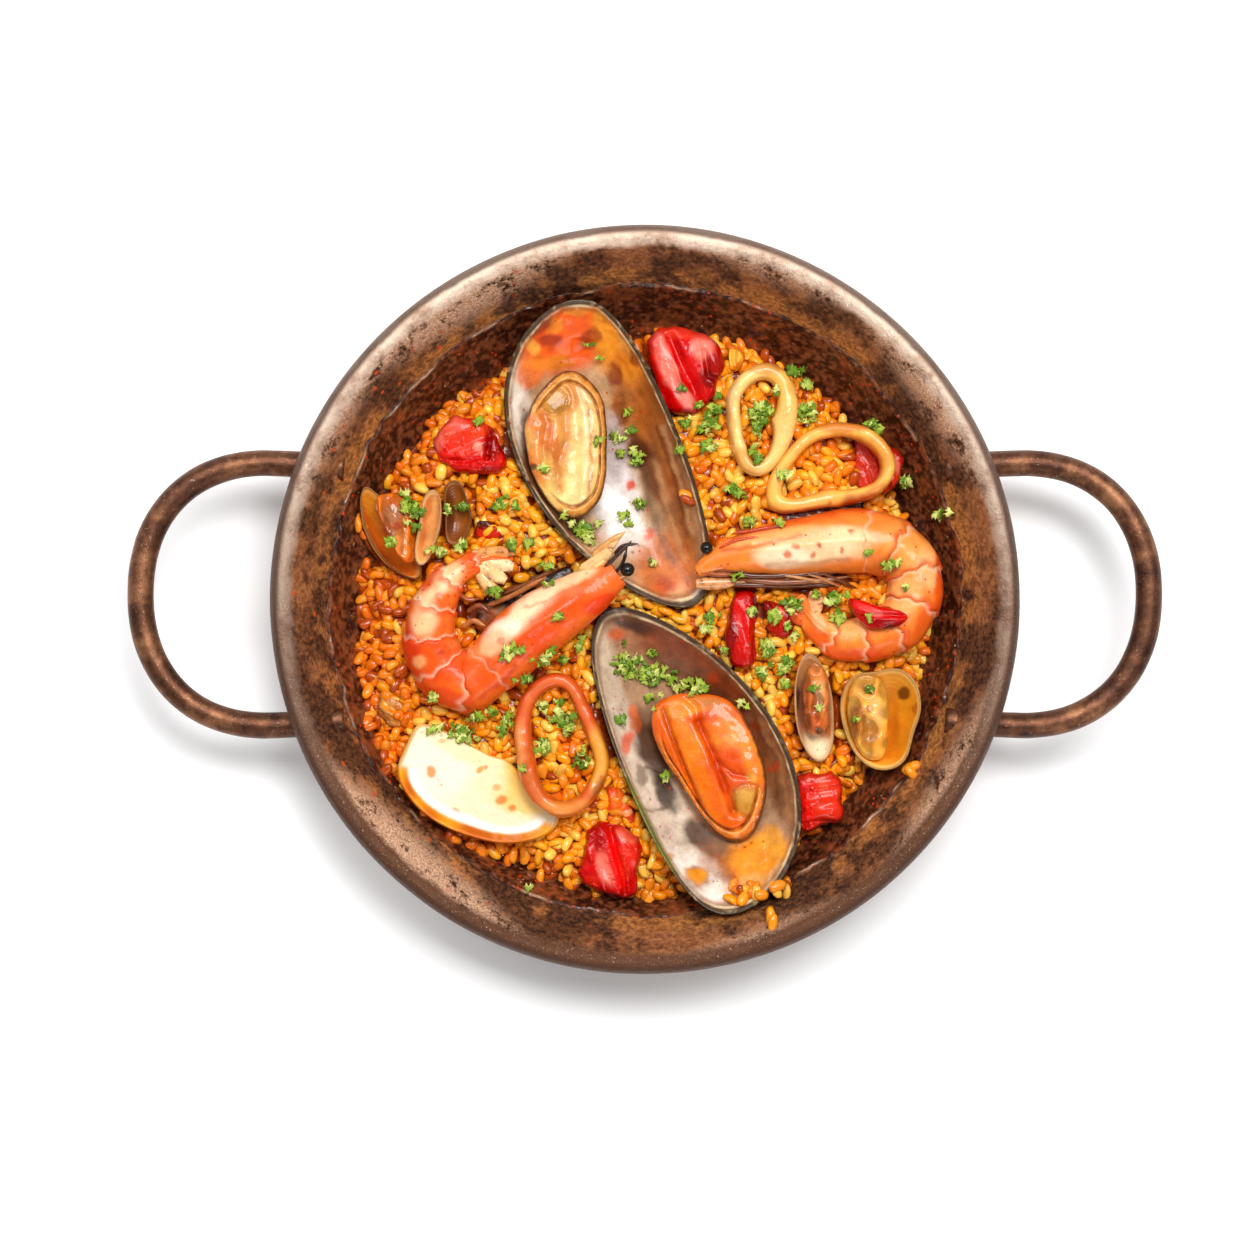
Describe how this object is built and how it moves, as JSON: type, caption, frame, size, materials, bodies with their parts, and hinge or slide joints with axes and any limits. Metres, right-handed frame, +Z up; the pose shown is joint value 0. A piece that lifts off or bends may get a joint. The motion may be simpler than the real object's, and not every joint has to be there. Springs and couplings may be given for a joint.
{
  "type": "paella in its pan",
  "caption": "Round steel pan with loop handles, holding yellow rice topped with mussels, clams, prawns, squid rings, peppers and a lemon wedge.",
  "frame": {"origin": "middle of the underside of the pan's flat base, which is the bottom centre of the whole object's box", "axes": "+Z up out of the open pan, +X through the middle of the right handle, +Y to the far side of the pan"},
  "size_m": [0.3336, 0.24, 0.04],
  "materials": {
    "browned_steel": "browned carbon steel, worn bright on the lip, with baked-on sauce and crust",
    "rod_steel": "browned steel rod with a copper-coloured patina",
    "rice": "cooked rice grains coated in saffron and paprika sauce",
    "mussel_shell": "mother-of-pearl inside of a mussel shell, stained with sauce, green-brown edge",
    "mussel_outside": "dark outside of a mussel shell, wet",
    "mussel_meat_pale": "cooked mussel, pale tan with a dark frill",
    "mussel_meat_orange": "cooked mussel, bright orange and glossy",
    "clam_shell": "clam shell, cream to amber, stained",
    "clam_meat": "cooked clam in brown sauce, very glossy",
    "prawn": "cooked prawn in its shell, cream on top and orange-red at the sides",
    "lemon": "lemon wedge: dimpled peel, white pith and pale flesh",
    "red_pepper": "cooked red pepper, smooth wet skin",
    "orange_pepper": "cooked orange pepper, wet skin",
    "yellow_pepper": "cooked yellow pepper",
    "onion": "softened onion, translucent",
    "squid": "cooked squid ring, pale with orange-red skin",
    "parsley": "chopped green parsley",
    "char": "dark baked-on crust and charred bits"
  },
  "bodies": {
    "root": {"pan": "browned_steel", "handle_right": "rod_steel", "handle_left": "rod_steel", "rice": "rice", "mussel_shell_upper": "mussel_shell", "mussel_shell_lower": "mussel_shell", "mussel_shell_fragment": "mussel_outside", "mussel_meat_upper": "mussel_meat_pale", "mussel_meat_lower": "mussel_meat_orange", "clam_shell_standing": "clam_shell", "clam_shell_facing": "clam_shell", "clam_shell_thin": "clam_shell", "clam_shell_narrow": "clam_shell", "clam_shell_wide": "clam_shell", "clam_meat_left": "clam_meat", "clam_meat_narrow": "clam_meat", "clam_meat_wide": "clam_meat", "prawn_left": "prawn", "prawn_right": "prawn", "lemon_wedge": "lemon", "pepper_top": "red_pepper", "pepper_left": "red_pepper", "pepper_middle": "red_pepper", "pepper_charred": "red_pepper", "pepper_right": "red_pepper", "pepper_bottom": "red_pepper", "pepper_small": "red_pepper", "pepper_curl": "red_pepper", "pepper_orange": "orange_pepper", "pepper_ring_side": "orange_pepper", "pepper_chunk_yellow": "yellow_pepper", "onion_strip": "onion", "squid_ring_top": "squid", "squid_ring_right": "squid", "squid_ring_left": "squid"}
  },
  "joints": []
}
